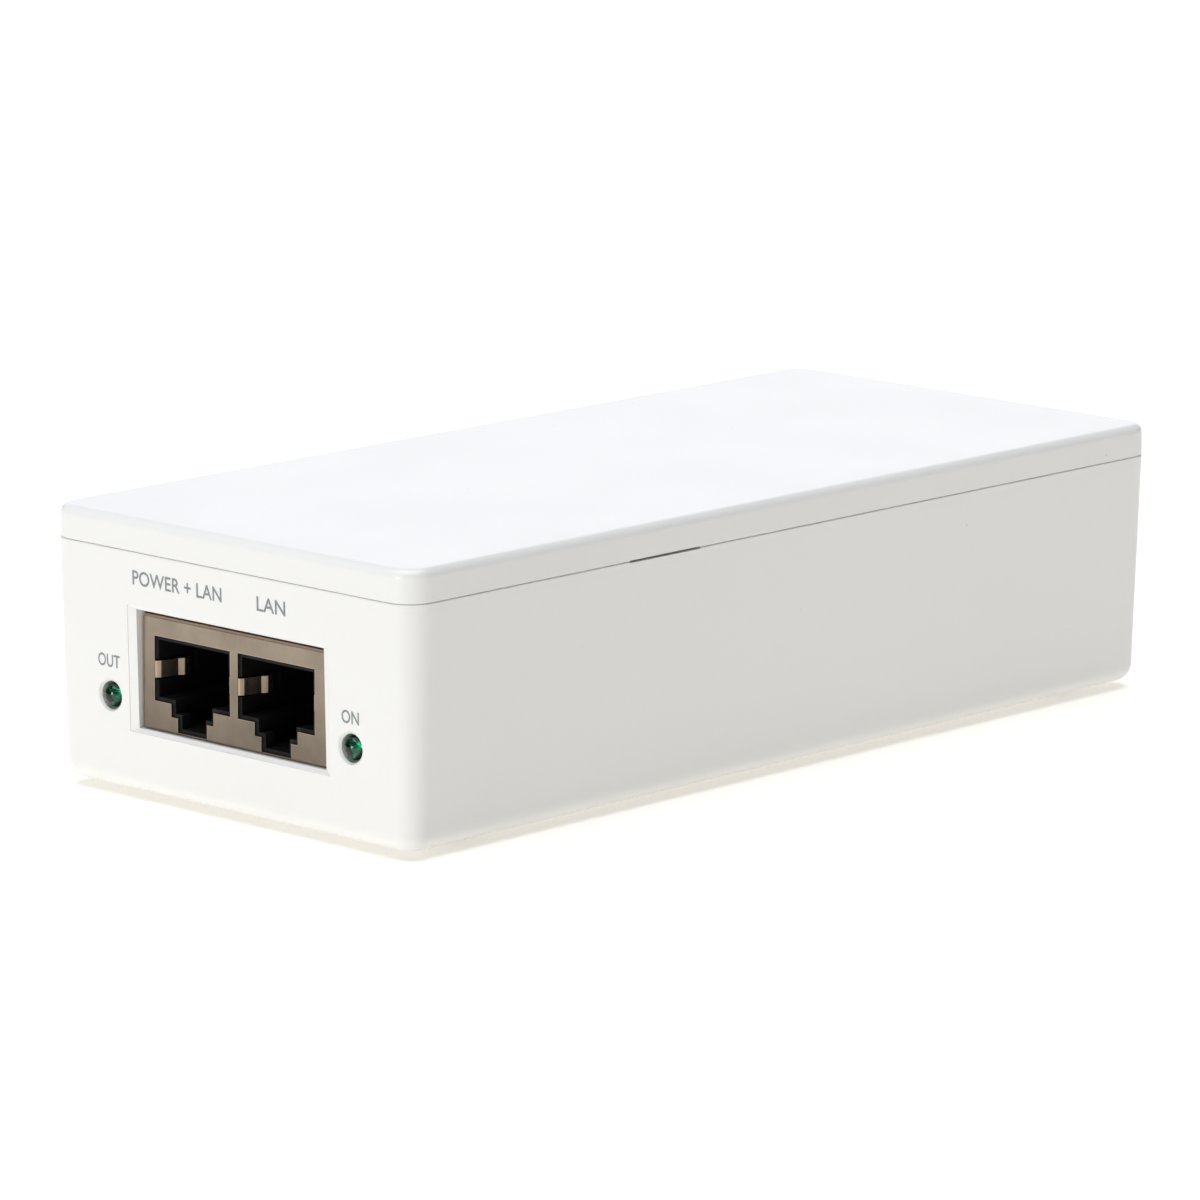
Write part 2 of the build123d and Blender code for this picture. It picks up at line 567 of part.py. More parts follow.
CHOKE_Y, CHOKE_R, CHOKE_HOLE_R, CHOKE_T = 39.6, 8.2, 4.2, 6.0
CHOKE_Z = BOARD_TOP_Z + 1.4 + CHOKE_R + 1.3
CHOKE_WIRE_R = 0.55


def choke_core():
    """A ferrite ring that stands on edge, facing the inlet."""
    ring = rod_y(0, CHOKE_Z, CHOKE_Y - CHOKE_T / 2, CHOKE_Y + CHOKE_T / 2, CHOKE_R)
    ring = ring - rod_y(0, CHOKE_Z, CHOKE_Y - CHOKE_T, CHOKE_Y + CHOKE_T, CHOKE_HOLE_R)
    return fillet(ring.edges(), 0.6)


def wound_turn(r_in, r_out, depth, wire_r):
    """One rectangular turn of wire around a ring's section, in XY, centred on the ring's middle."""
    x0, x1, y = r_in - wire_r - 0.05, r_out + wire_r + 0.05, depth / 2 + wire_r + 0.05
    outline = Rectangle(x1 - x0 + 2 * wire_r, 2 * y + 2 * wire_r)
    outline = outline - Rectangle(x1 - x0 - 2 * wire_r, 2 * y - 2 * wire_r)
    turn = extrude(outline, wire_r, both=True)
    turn = chamfer(turn.edges().filter_by(Plane.XY), wire_r * 0.35)
    return Pos((x0 + x1) / 2, 0, 0) * turn


def choke_windings():
    """Two banks of turns, one on each side of the ring."""
    turn = wound_turn(CHOKE_HOLE_R, CHOKE_R, CHOKE_T, CHOKE_WIRE_R)
    turns = []
    for start in (-52, 128):
        for i in range(7):
            angle = start + i * 17.4
            turns.append(Pos(0, CHOKE_Y, CHOKE_Z) * Rot(0, angle, 0) * turn)
    return group(turns)


def choke_stand():
    """A moulded saddle under the ring, with four legs."""
    top = CHOKE_Z - 3.0
    stand = block(-9.0, 9.0, CHOKE_Y - 4.6, CHOKE_Y + 4.6, BOARD_TOP_Z, BOARD_TOP_Z + 1.2)
    for side in (-1, 1):
        cheek_y = CHOKE_Y + side * 4.55
        outer_y = cheek_y + (0.05 if side > 0 else 0.45)
        stand = stand + block(-2.2, 2.2, cheek_y - 0.45, outer_y, BOARD_TOP_Z, top - 6)
    add_leads([(x, CHOKE_Y + y) for x in (-7.5, 7.5) for y in (-3.2, 3.2)], BOARD_TOP_Z, 0.45)
    return stand


def bridge_rectifier():
    x, y0, y1, z0, z1 = 18.6, 12.0, 26.6, BOARD_TOP_Z + 2.6, BOARD_TOP_Z + 14.0
    body = block(x - 1.8, x + 1.8, y0, y1, z0, z1)
    body = chamfer(body.edges().filter_by(Axis.X).group_by(Axis.Z)[-1].sort_by(Axis.Y)[0], 2.6)
    add_leads([(x, (y0 + y1) / 2 + (i - 1.5) * 3.81) for i in range(4)], z0, 0.42)
    return body


BULK_Y, BULK_R, BULK_X0, BULK_X1 = 24.0, 9.0, -14.0, 14.5
BULK_Z = BOARD_TOP_Z + BULK_R + 0.3


def bulk_capacitor():
    """The high-voltage electrolytic, on its side: sleeved can with a rolled groove at the seal end."""
    can = rod_x(BULK_Y, BULK_Z, BULK_X0, BULK_X1, BULK_R)
    can = fillet(can.edges(), 0.8)
    groove_x = BULK_X1 - 2.6
    ring = rod_x(BULK_Y, BULK_Z, groove_x - 0.7, groove_x + 0.7, BULK_R + 1) - rod_x(
        BULK_Y, BULK_Z, groove_x - 1, groove_x + 1, BULK_R - 0.7)
    can = can - fillet(ring.edges(), 0.3)
    # the sleeve leaves a round of bare aluminium at the vent end
    return can - rod_x(BULK_Y, BULK_Z, BULK_X0 - 1, BULK_X0 + 0.25, BULK_R - 2.0)


def bulk_capacitor_leads():
    leads = []
    for offset in (-3.75, 3.75):
        y = BULK_Y + offset
        run = [(BULK_X1, y, BULK_Z), (BULK_X1 + 1.6, y, BULK_Z), (BULK_X1 + 1.6, y, LEAD_END_Z)]
        leads.append(wire(run, 0.4))
        lead_holes.append((BULK_X1 + 1.6, y, 0.4 + LEAD_HOLE_EXTRA))
    return group(leads)


TAB_T, PACKAGE_T, PACKAGE_HALF_W = 1.3, 3.2, 5.1
PACKAGE_Z = BOARD_TOP_Z + 4.6
TAB_SCREW_Z = PACKAGE_Z + 12.8


def power_package(x_face, y, side):
    """The moulded body of a power device on a heatsink face at x_face; side points away from the metal."""
    x0, x1 = sorted((x_face + side * TAB_T, x_face + side * (TAB_T + PACKAGE_T)))
    body = block(x0, x1, y - PACKAGE_HALF_W, y + PACKAGE_HALF_W, PACKAGE_Z, PACKAGE_Z + 9.2)
    add_leads([(x_face + side * 2.6, y + offset) for offset in (-2.54, 0, 2.54)], PACKAGE_Z, 0.4)
    return chamfer(body.faces().sort_by(Axis.X)[-1 if side > 0 else 0].edges(), 0.35)


def power_tab(x_face, y, side):
    """The metal tab behind that body, clamped flat to the heatsink."""
    x0, x1 = sorted((x_face, x_face + side * TAB_T))
    tab = block(x0, x1, y - PACKAGE_HALF_W, y + PACKAGE_HALF_W, PACKAGE_Z + 1.0, PACKAGE_Z + 15.6)
    return tab - rod_x(y, TAB_SCREW_Z, x0 - 1, x1 + 1, 1.8)


def fixing_screw(x_face, y, side):
    """The short screw that holds such a device to its heatsink."""
    reach = sorted((x_face - side * 2.9, x_face + side * TAB_T))
    head = sorted((x_face + side * TAB_T, x_face + side * 3.3))
    head = fillet(rod_x(y, TAB_SCREW_Z, head[0], head[1], 2.7).edges(), 0.4)
    return rod_x(y, TAB_SCREW_Z, reach[0], reach[1], 1.45) + head


def heatsink(x_face, side, y0, y1, screw_y):
    """A folded aluminium plate on edge, with a short fin at each end and two board tags."""
    t = 2.0
    xs = sorted((x_face, x_face - side * t))
    z0, z1 = BOARD_TOP_Z + 0.6, BOARD_TOP_Z + 20.6
    plate = block(xs[0], xs[1], y0, y1, z0, z1)
    for y in (y0, y1 - 1.6):
        fin = sorted((x_face, x_face + side * 3.4))
        plate = plate + block(fin[0], fin[1], y, y + 1.6, z0 + 3, z1)
    plate = plate - rod_x(screw_y, TAB_SCREW_Z, xs[0] - 5, xs[1] + 0.5, 1.5)
    tags = [pin((xs[0] + xs[1]) / 2, y, z0 + 0.5, 0.6) for y in (y0 + 3, y1 - 3)]
    return joined([plate] + tags)


PRIMARY_SINK = dict(x_face=-22.6, side=1, y0=5.0, y1=31.0)
PRIMARY_FET_Y = 14.5
OUTPUT_SINK = dict(x_face=22.6, side=-1, y0=-26.0, y1=-3.0)
OUTPUT_DIODE_Y = -14.5


# ---- transformer -------------------------------------------------------------------------
TRAFO_Y = 1.6
TRAFO_Z = BOARD_TOP_Z + 11.6
CORE_HALF_X, CORE_HALF_Y, CORE_HALF_Z = 13.0, 4.3, 9.4
CORE_LEG, CORE_BACK = 3.0, 3.2
CENTRE_HALF_Z = 3.2
SPOOL_HALF_X = CORE_HALF_X - CORE_BACK - 0.15
SPOOL_WALL = 0.8


def transformer_core():
    """Two ferrite E halves that meet across the middle."""
    core = block(-CORE_HALF_X, CORE_HALF_X, TRAFO_Y - CORE_HALF_Y, TRAFO_Y + CORE_HALF_Y,
                 TRAFO_Z - CORE_HALF_Z, TRAFO_Z + CORE_HALF_Z)
    core = chamfer(core.edges().filter_by(Axis.Y), 0.8)
    window_x = CORE_HALF_X - CORE_BACK
    for side in (-1, 1):
        zs = sorted((TRAFO_Z + side * CENTRE_HALF_Z, TRAFO_Z + side * (CORE_HALF_Z - CORE_LEG)))
        core = core - block(-window_x, window_x, TRAFO_Y - 10, TRAFO_Y + 10, zs[0], zs[1])
    split = 0.1
    halves = [core & block(-CORE_HALF_X, -split / 2, TRAFO_Y - 10, TRAFO_Y + 10, 0, CASE_L),
              core & block(split / 2, CORE_HALF_X, TRAFO_Y - 10, TRAFO_Y + 10, 0, CASE_L)]
    return group(halves)


def transformer_bobbin():
    """Spool round the middle leg, two flanges and a pin rail at each end."""
    reach_y = 9.6
    window_z = CORE_HALF_Z - CORE_LEG - 0.1
    tube_y, tube_z = CORE_HALF_Y + 0.1, CENTRE_HALF_Z + 0.1
    spool = block(-SPOOL_HALF_X, SPOOL_HALF_X, TRAFO_Y - tube_y - SPOOL_WALL, TRAFO_Y + tube_y + SPOOL_WALL,
                  TRAFO_Z - tube_z - SPOOL_WALL, TRAFO_Z + tube_z + SPOOL_WALL)
    for side in (-1, 1):
        xs = sorted((side * SPOOL_HALF_X, side * (SPOOL_HALF_X - SPOOL_WALL)))
        flange = block(xs[0], xs[1], TRAFO_Y - reach_y, TRAFO_Y + reach_y,
                       TRAFO_Z - window_z, TRAFO_Z + window_z)
        spool = spool + fillet(flange.edges().filter_by(Axis.X), 2.0)
    spool = spool - block(-CORE_HALF_X, CORE_HALF_X, TRAFO_Y - tube_y, TRAFO_Y + tube_y,
                          TRAFO_Z - tube_z, TRAFO_Z + tube_z)
    rails = []
    for side in (-1, 1):
        y0, y1 = sorted((TRAFO_Y + side * (CORE_HALF_Y + 0.3), TRAFO_Y + side * reach_y))
        rails.append(block(-SPOOL_HALF_X, SPOOL_HALF_X, y0, y1, BOARD_TOP_Z + 0.2, TRAFO_Z - window_z))
        add_leads([(3.75 * i, TRAFO_Y + side * 7.6) for i in range(-2, 3)], BOARD_TOP_Z + 0.2, 0.4)
    return joined([spool] + rails)


def transformer_winding():
    """The taped winding that fills the spool."""
    inner_y, inner_z = CORE_HALF_Y + 0.1 + SPOOL_WALL, CENTRE_HALF_Z + 0.1 + SPOOL_WALL
    half_x = SPOOL_HALF_X - SPOOL_WALL
    outer = Pos(0, TRAFO_Y, TRAFO_Z) * Box(2 * half_x, 2 * 9.0, 2 * (CORE_HALF_Z - CORE_LEG - 0.35))
    outer = fillet(outer.edges().filter_by(Axis.X), 2.6)
    return outer - Pos(0, TRAFO_Y, TRAFO_Z) * Box(CASE_W, 2 * inner_y, 2 * inner_z)


# ---- low-voltage side --------------------------------------------------------------------
def disc_capacitor(x, y, r=3.8, t=3.0):
    z = BOARD_TOP_Z + 1.8 + r
    body = fillet(rod_y(x, z, y - t / 2, y + t / 2, r).edges(), 1.0)
    add_leads([(x + offset, y) for offset in (-2.5, 2.5)], z - 1.5, 0.3, body=body)
    return body


def y_capacitors():
    return group([disc_capacitor(17.6, 4.5), disc_capacitor(-18.2, -3.2)])


def output_capacitors():
    """Three radial electrolytics with scored vents."""
    cans = []
    for x in (-19.0, -7.4, 4.2):
        z0, z1, y, r = BOARD_TOP_Z + 0.3, BOARD_TOP_Z + 20.3, -20.0, 5.0
        can = fillet(disc(x, y, z0, z1, r).edges(), 0.7)
        groove = disc(x, y, z0 + 1.9, z0 + 3.0, r + 1) - disc(x, y, z0 + 1.8, z0 + 3.1, r - 0.5)
        can = can - fillet(groove.edges(), 0.25)
        for angle in (45, 135):
            can = can - Pos(x, y, z1) * Rot(0, 0, angle) * Box(6.4, 0.3, 0.3)
        add_leads([(x + offset, y) for offset in (-2.5, 2.5)], z0)
        cans.append(can)
    return group(cans)


COIL_X, COIL_Y, COIL_R, COIL_HOLE_R, COIL_T = 13.6, -34.2, 5.2, 2.7, 4.4
COIL_Z = BOARD_TOP_Z + 1.5 + COIL_T / 2
COIL_WIRE_R = 0.45


def output_choke_core():
    ring = Pos(COIL_X, COIL_Y, COIL_Z) * (Cylinder(COIL_R, COIL_T) - Cylinder(COIL_HOLE_R, 2 * COIL_T))
    return fillet(ring.edges(), 0.5)


def output_choke_winding():
    turn = wound_turn(COIL_HOLE_R, COIL_R, COIL_T, COIL_WIRE_R)
    turns = []
    for i in range(13):
        turns.append(Pos(COIL_X, COIL_Y, COIL_Z) * Rot(0, 0, 40 + i * 23.5) * Rot(90, 0, 0) * turn)
    return group(turns)


def flat_package(x, y, width, length, height, pins, pitch, along_x=False):
    """A surface-mount package with bent legs on its two long sides, as separate solids."""
    body = Pos(0, 0, BOARD_TOP_Z + 0.15 + height / 2) * Box(width, length, height)
    body = chamfer(body.faces().sort_by(Axis.Z)[-1].edges(), min(0.25, height / 4))
    solids = [body]
    foot = 0.9
    for side in (-1, 1):
        for i in range(pins):
            py = (i - (pins - 1) / 2) * pitch
            x0, x1 = sorted((side * width / 2, side * (width / 2 + foot)))
            step = block(*sorted((side * width / 2, side * (width / 2 + 0.35))),
                         py - pitch * 0.18, py + pitch * 0.18,
                         BOARD_TOP_Z, BOARD_TOP_Z + 0.15 + height * 0.45)
            toe = block(x0, x1, py - pitch * 0.18, py + pitch * 0.18, BOARD_TOP_Z, BOARD_TOP_Z + 0.22)
            solids.append(step + toe)
    turn = Rot(0, 0, 90) if along_x else Rot(0, 0, 0)
    return [Pos(x, y, 0) * turn * solid for solid in solids]


def data_transformers():
    """Two isolation transformers for the data pairs, just behind the jack."""
    solids = []
    for x in (-13.8, 1.0):
        solids += flat_package(x, -36.8, width=9.6, length=15.4, height=5.6, pins=12, pitch=1.18)
    return group(solids)


def control_chips():
    """Power controller, opto-couplers and switching regulator."""
    chips = flat_package(22.4, -37.5, 4.4, 6.5, 1.2, 10, 0.65)
    chips += flat_package(-22.6, -32.0, 3.9, 4.9, 1.5, 4, 1.27)
    chips += flat_package(15.6, -5.2, 6.5, 4.6, 3.4, 2, 2.54)
    chips += flat_package(-18.0, 1.8, 6.5, 4.6, 3.4, 2, 2.54)
    return group(chips)


CHIP_ROWS = [(-24.0, -46.6, 4), (18.0, -46.4, 4), (20.8, -30.8, 3), (-21.5, -10.5, 4), (9.5, -11.0, 3),
             (-13.0, -9.4, 3), (-22.0, -26.8, 2)]


def chip_parts():
    """Rows of small surface-mount resistors and capacitors."""
    parts = []
    for x, y, count in CHIP_ROWS:
        for i in range(count):
            parts.append(Pos(x + 2.0 * i, y, BOARD_TOP_Z + 0.3) * Box(1.0, 1.8, 0.6))
    return group(parts)


def insulation_sheet():
    """Thin film on the floor of the base, under the cropped leads."""
    film = slab(46.0, 122.0, 2.0, FLOOR_Z + 0.02, FLOOR_Z + 0.27)
    for x, y in POSTS:
        film = film - disc(x, y, FLOOR_Z - 1, FLOOR_Z + 2, POST_R + 0.6)
    for side in (-1, 1):
        x0, x1 = sorted((side * (BOARD_W / 2 - 3.2), side * CASE_W))
        film = film - block(x0, x1, -36, 36, FLOOR_Z - 1, FLOOR_Z + 2)
    return film


def main_board():
    """Made last, when every part has said where its leads go."""
    outline = RectangleRounded(BOARD_W, BOARD_L, 1.0)
    for x, y in POSTS:
        outline = outline - Pos(x, y) * Circle(SCREW_CLEAR_R)
    for x, y, r in lead_holes:
        outline = outline - Pos(x, y) * Circle(r)
    return Pos(0, 0, BOARD_Z) * extrude(outline, BOARD_T)


def main():
    nodes = {
        "base_shell": base_shell(),
        "top_cover": top_cover(),
        "rubber_feet": rubber_feet(),
        "cover_screws": cover_screws(),
        "rating_label": rating_label(),
        "insulation_sheet": insulation_sheet(),
        "jack_shield": jack_shield(),
        "jack_housing": jack_housing(),
        "contact_carriers": contact_carriers(),
        "output_port_contacts": port_contacts(PORTS[0]),
        "input_port_contacts": port_contacts(PORTS[1]),
        "left_status_light": status_light(-1),
        "right_status_light": status_light(1),
        "light_leads": light_leads(),
        "light_spacers": light_spacers(),
        "mains_inlet": mains_inlet(),
        "inlet_pins": inlet_pins(),
        "fuse_tube": fuse_tube(),
        "fuse_caps": fuse_caps(),
        "fuse_clips": fuse_clips(),
        "surge_varistor": surge_varistor(),
        "x_capacitor": x_capacitor(),
        "choke_core": choke_core(),
        "choke_windings": choke_windings(),
        "choke_stand": choke_stand(),
        "bridge_rectifier": bridge_rectifier(),
        "bulk_capacitor": bulk_capacitor(),
        "bulk_capacitor_leads": bulk_capacitor_leads(),
        "primary_heatsink": heatsink(screw_y=PRIMARY_FET_Y, **PRIMARY_SINK),
        "switching_transistor": power_package(PRIMARY_SINK["x_face"], PRIMARY_FET_Y, 1),
        "output_heatsink": heatsink(screw_y=OUTPUT_DIODE_Y, **OUTPUT_SINK),
        "output_diode": power_package(OUTPUT_SINK["x_face"], OUTPUT_DIODE_Y, -1),
        "power_tabs": group([power_tab(PRIMARY_SINK["x_face"], PRIMARY_FET_Y, 1),
                             power_tab(OUTPUT_SINK["x_face"], OUTPUT_DIODE_Y, -1)]),
        "heatsink_screws": group([fixing_screw(PRIMARY_SINK["x_face"], PRIMARY_FET_Y, 1),
                                  fixing_screw(OUTPUT_SINK["x_face"], OUTPUT_DIODE_Y, -1)]),
        "transformer_core": transformer_core(),
        "transformer_bobbin": transformer_bobbin(),
        "transformer_winding": transformer_winding(),
        "y_capacitors": y_capacitors(),
        "output_capacitors": output_capacitors(),
        "output_choke_core": output_choke_core(),
        "output_choke_winding": output_choke_winding(),
        "data_transformers": data_transformers(),
        "control_chips": control_chips(),
        "chip_parts": chip_parts(),
    }
    nodes["component_leads"] = group(component_leads)
    nodes["main_board"] = main_board()
    os.makedirs("parts", exist_ok=True)
    for name, shape in nodes.items():
        export_step(shape, f"parts/{name}.step")


main()
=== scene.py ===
"""Looks for the PoE injector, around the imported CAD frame. Metres, +Z up, ports towards -Y."""
import bpy
import math
from mathutils import Matrix, Vector


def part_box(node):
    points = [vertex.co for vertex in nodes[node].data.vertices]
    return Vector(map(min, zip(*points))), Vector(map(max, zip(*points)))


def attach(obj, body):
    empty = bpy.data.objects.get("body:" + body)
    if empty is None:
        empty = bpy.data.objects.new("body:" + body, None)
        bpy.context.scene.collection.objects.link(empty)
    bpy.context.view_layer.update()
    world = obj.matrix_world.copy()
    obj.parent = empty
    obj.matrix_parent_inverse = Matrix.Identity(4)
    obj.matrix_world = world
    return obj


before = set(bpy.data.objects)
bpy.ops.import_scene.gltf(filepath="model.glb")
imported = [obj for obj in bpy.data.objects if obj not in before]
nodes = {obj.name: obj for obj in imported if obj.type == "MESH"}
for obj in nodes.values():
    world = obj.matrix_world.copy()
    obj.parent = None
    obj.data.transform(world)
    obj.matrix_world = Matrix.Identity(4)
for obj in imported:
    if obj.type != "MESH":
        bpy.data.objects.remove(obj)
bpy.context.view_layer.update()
MM = 0.001
FOOT_PROUD = 0.8 * MM        # the rubber feet hold the base this far off the desk
CAN_PITCH = 11.6 * MM        # between the upright cans on the output side
CAN_RADIUS = 5.0 * MM


# ---- camera ------------------------------------------------------------------------------
def aim_camera():
    """A long lens from the front right, a little above, with a trace of roll."""
    azimuth, elevation, roll = math.radians(42.91), math.radians(11.738), math.radians(0.343)
    distance, slide_x, slide_y = 849.89 * MM, 2.153 * MM, -15.575 * MM
    back = Vector((math.sin(azimuth) * math.cos(elevation), -math.cos(azimuth) * math.cos(elevation),
                   math.sin(elevation)))
    level = Vector((math.cos(azimuth), math.sin(azimuth), 0))
    upright = back.cross(level)
    right = level * math.cos(roll) + upright * math.sin(roll)
    up = -level * math.sin(roll) + upright * math.cos(roll)
    data = bpy.data.cameras.new("camera")
    data.sensor_fit = "HORIZONTAL"
    data.sensor_width = 36.0
    data.lens = 206.832
    data.clip_start, data.clip_end = 0.05, 50
    cam = bpy.data.objects.new("camera", data)
    bpy.context.scene.collection.objects.link(cam)
    place = back * distance - right * slide_x - up * slide_y + Vector((0, 0, FOOT_PROUD))
    cam.matrix_world = Matrix.Translation(place) @ Matrix((right, up, back)).transposed().to_4x4()
    bpy.context.scene.camera = cam


# ---- studio ------------------------------------------------------------------------------
def soft_light(name, azimuth, elevation, spread, energy, colour):
    """A broad, distant light. Azimuth 0 is straight in front of the ports, 90 on the right; degrees."""
    data = bpy.data.lights.new(name, "SUN")
    data.energy, data.color, data.angle = energy, colour, math.radians(spread)
    light = bpy.data.objects.new(name, data)
    bpy.context.scene.collection.objects.link(light)
    turn, lift = math.radians(azimuth), math.radians(elevation)
    towards = Vector((math.sin(turn) * math.cos(lift), -math.cos(turn) * math.cos(lift), math.sin(lift)))
    light.rotation_euler = towards.to_track_quat("Z", "Y").to_euler()


def studio():
    world = bpy.data.worlds.new("studio")
    bpy.context.scene.world = world
    world.use_nodes = True
    sky = world.node_tree.nodes["Background"]
    sky.inputs["Color"].default_value = (0.98, 0.99, 1.0, 1)
    sky.inputs["Strength"].default_value = 0.08
    # the key lights the ports' side; the rim glances off the top towards the camera
    soft_light("key", azimuth=-1, elevation=8, spread=24, energy=1.19, colour=(0.98, 0.995, 1.0))
    soft_light("rim", azimuth=222, elevation=14, spread=44, energy=0.58, colour=(0.96, 0.98, 1.0))
    soft_light("overhead", azimuth=0, elevation=88, spread=60, energy=2.62, colour=(0.93, 0.95, 1.0))
    bpy.ops.mesh.primitive_plane_add(size=12, location=(0, 0, -0.02 * MM))      # just clear of the feet
    floor = bpy.context.object
    floor.name = "floor"
    floor.data.materials.append(floor_paper())
    view = bpy.context.scene.view_settings
    view.view_transform = "Standard"
    view.look = "None"


# ---- material building blocks ------------------------------------------------------------
class Graph:
    """A short way to write one material's nodes."""

    def __init__(self, name):
        self.material = bpy.data.materials.new(name)
        self.material.use_nodes = True
        self.tree = self.material.node_tree
        self.tree.nodes.clear()
        self.out = self.tree.nodes.new("ShaderNodeOutputMaterial")
        self.shader = self.tree.nodes.new("ShaderNodeBsdfPrincipled")
        self.tree.links.new(self.shader.outputs[0], self.out.inputs["Surface"])
        self.coords = None

    def node(self, kind, inputs=None, **settings):
        made = self.tree.nodes.new(kind)
        for key, value in settings.items():
            setattr(made, key, value)
        for key, value in (inputs or {}).items():
            self.feed(made.inputs[key], value)
        return made

    def feed(self, socket, value):
        if isinstance(value, bpy.types.NodeSocket):
            self.tree.links.new(value, socket)
        else:
            if socket.type == "RGBA" and len(value) == 3:
                value = (*value, 1.0)
            socket.default_value = value

    def set(self, **sockets):
        for key, value in sockets.items():
            self.feed(self.shader.inputs[key.replace("_", " ")], value)
        return self

    def place(self, stretch=(1, 1, 1)):
        """Object coordinates in metres, stretched per axis."""
        if self.coords is None:
            self.coords = self.node("ShaderNodeTexCoord").outputs["Object"]
        if stretch == (1, 1, 1):
            return self.coords
        return self.node("ShaderNodeMapping", {"Vector": self.coords, "Scale": stretch}).outputs[0]

    def noise(self, scale, detail=3.0, rough=0.55, stretch=(1, 1, 1)):
        inputs = {"Vector": self.place(stretch), "Scale": scale, "Detail": detail, "Roughness": rough}
        return self.node("ShaderNodeTexNoise", inputs).outputs["Fac"]

    def blotches(self, scale, detail=3.0):
        """Noise stretched to run from 0 to 1."""
        return self.remap(self.noise(scale, detail), 0.3, 0.7, 0, 1)

    def remap(self, value, low, high, out_low, out_high):
        inputs = {"Value": value, "From Min": low, "From Max": high, "To Min": out_low, "To Max": out_high}
        return self.node("ShaderNodeMapRange", inputs).outputs[0]

    def mix(self, factor, a, b):
        made = self.node("ShaderNodeMix", data_type="RGBA")
        for key, value in ((0, factor), (6, a), (7, b)):
            self.feed(made.inputs[key], value)
        return made.outputs[2]

    def math(self, operation, a, b=0.0):
        made = self.node("ShaderNodeMath", operation=operation)
        self.feed(made.inputs[0], a)
        self.feed(made.inputs[1], b)
        return made.outputs[0]

    def bump(self, height, strength, distance):
        inputs = {"Height": height, "Strength": strength, "Distance": distance}
        return self.node("ShaderNodeBump", inputs).outputs[0]

    def specks(self, scale, size, rarity):
        """1 in small dots in a few of the cells, 0 elsewhere."""
        cell = self.node("ShaderNodeTexVoronoi", {"Vector": self.place(), "Scale": scale, "Randomness": 1.0})
        dot = self.remap(cell.outputs["Distance"], size * 0.6, size, 1, 0)
        pick = self.node("ShaderNodeSeparateColor", {"Color": cell.outputs["Color"]}).outputs[0]
        return self.math("MULTIPLY", dot, self.math("GREATER_THAN", pick, rarity))

    def axis(self, vector, index):
        return self.node("ShaderNodeSeparateXYZ", {"Vector": vector}).outputs[index]

    def normal(self):
        return self.node("ShaderNodeNewGeometry").outputs["Normal"]

    def edge_highlight_and_wear(self, radius):
        """1 along sharp edges and bends, 0 on the flats: the mask for a painted edge highlight and edge wear.
        """
        rounded = self.node("ShaderNodeBevel", {"Radius": radius}, samples=6).outputs[0]
        alike = self.node("ShaderNodeVectorMath", operation="DOT_PRODUCT")
        self.feed(alike.inputs[0], rounded)
        self.feed(alike.inputs[1], self.normal())
        sharp = self.remap(alike.outputs["Value"], 0.99, 0.80, 0, 1)
        along = [self.math("ABSOLUTE", self.axis(self.normal(), i)) for i in range(3)]
        square = self.math("MAXIMUM", self.math("MAXIMUM", along[0], along[1]), along[2])
        return self.math("MAXIMUM", sharp, self.remap(square, 0.99, 0.93, 0, 1))


def floor_paper():
    """White paper over a light table: it glows a little, so the shadow under the case stays pale."""
    g = Graph("floor_paper")
    g.set(Base_Color=(0.92, 0.895, 0.835), Roughness=0.9, Specular_IOR_Level=0.2,
          Emission_Color=(1.0, 0.985, 0.95), Emission_Strength=0.32)
    return g.material


def moulded(name, colour, rough=0.42, grain=5200, grain_depth=0.004, drift=0.02, coat=0.0, speck=None,
            specular=0.5):
    """Injection-moulded plastic: spark-eroded grain, faint colour drift, handling marks in the gloss."""
    g = Graph(name)
    drifted = g.mix(g.blotches(24), colour, tuple(c * (1 - drift) for c in colour))
    if speck:
        drifted = g.mix(g.math("MULTIPLY", g.specks(230, 0.045, 0.86), speck), drifted,
                        tuple(c * 0.45 for c in colour))
    gloss = g.remap(g.noise(75, 5, 0.6), 0.25, 0.75, rough * 0.88, rough * 1.12)
    fine = g.noise(grain, 2, 0.5)
    g.set(Base_Color=drifted, Roughness=gloss, Normal=g.bump(fine, 0.35, grain_depth * MM * 4))
    g.set(Coat_Weight=coat, IOR=1.5, Specular_IOR_Level=specular)
    return g


def metal(name, colour, rough=0.3, brush=(1, 1, 1), brush_scale=900, tarnish=0.12, spread=0.25, depth=0.002,
          edge=None, edge_radius=0.25):
    """Plated or rolled metal: brushing, uneven tarnish and, if asked for, another colour at its edges, which
    is a painted highlight and partly the bare metal at cut edges.
    """
    g = Graph(name)
    streak = g.noise(brush_scale, 4, 0.6, stretch=brush)
    cloud = g.noise(140, 4, 0.6)
    dull = tuple(c * (1 - tarnish) for c in colour)
    plated = g.mix(g.remap(cloud, 0.35, 0.7, 0, 1), colour, dull)
    if edge:
        # painted highlight: a lighter edge colour along sharp edges and bends, partly the bare metal under
        # the plate at cut edges
        plated = g.mix(g.math("MULTIPLY", g.edge_highlight_and_wear(edge_radius * MM), 0.85), plated, edge)
    g.set(Base_Color=plated, Metallic=1.0)
    g.set(Roughness=g.remap(streak, 0.2, 0.8, rough * (1 - spread), rough * (1 + spread)),
          Normal=g.bump(streak, 0.3, depth * MM * 4))
    return g


def dress(material, *names):
    """Gives CAD nodes a material."""
    made = material.material if isinstance(material, Graph) else material
    for name in names:
        data = nodes[name].data
        data.materials.clear()
        data.materials.append(made)


# ---- materials ---------------------------------------------------------------------------
def case_plastic():
    g = moulded("case_plastic", (0.86, 0.855, 0.84), rough=0.33, grain=5200, grain_depth=0.003, drift=0.012,
                speck=0.4)
    g.set(Subsurface_Weight=0.12, Subsurface_Radius=(1.0, 0.95, 0.85), Subsurface_Scale=0.8 * MM)
    return g


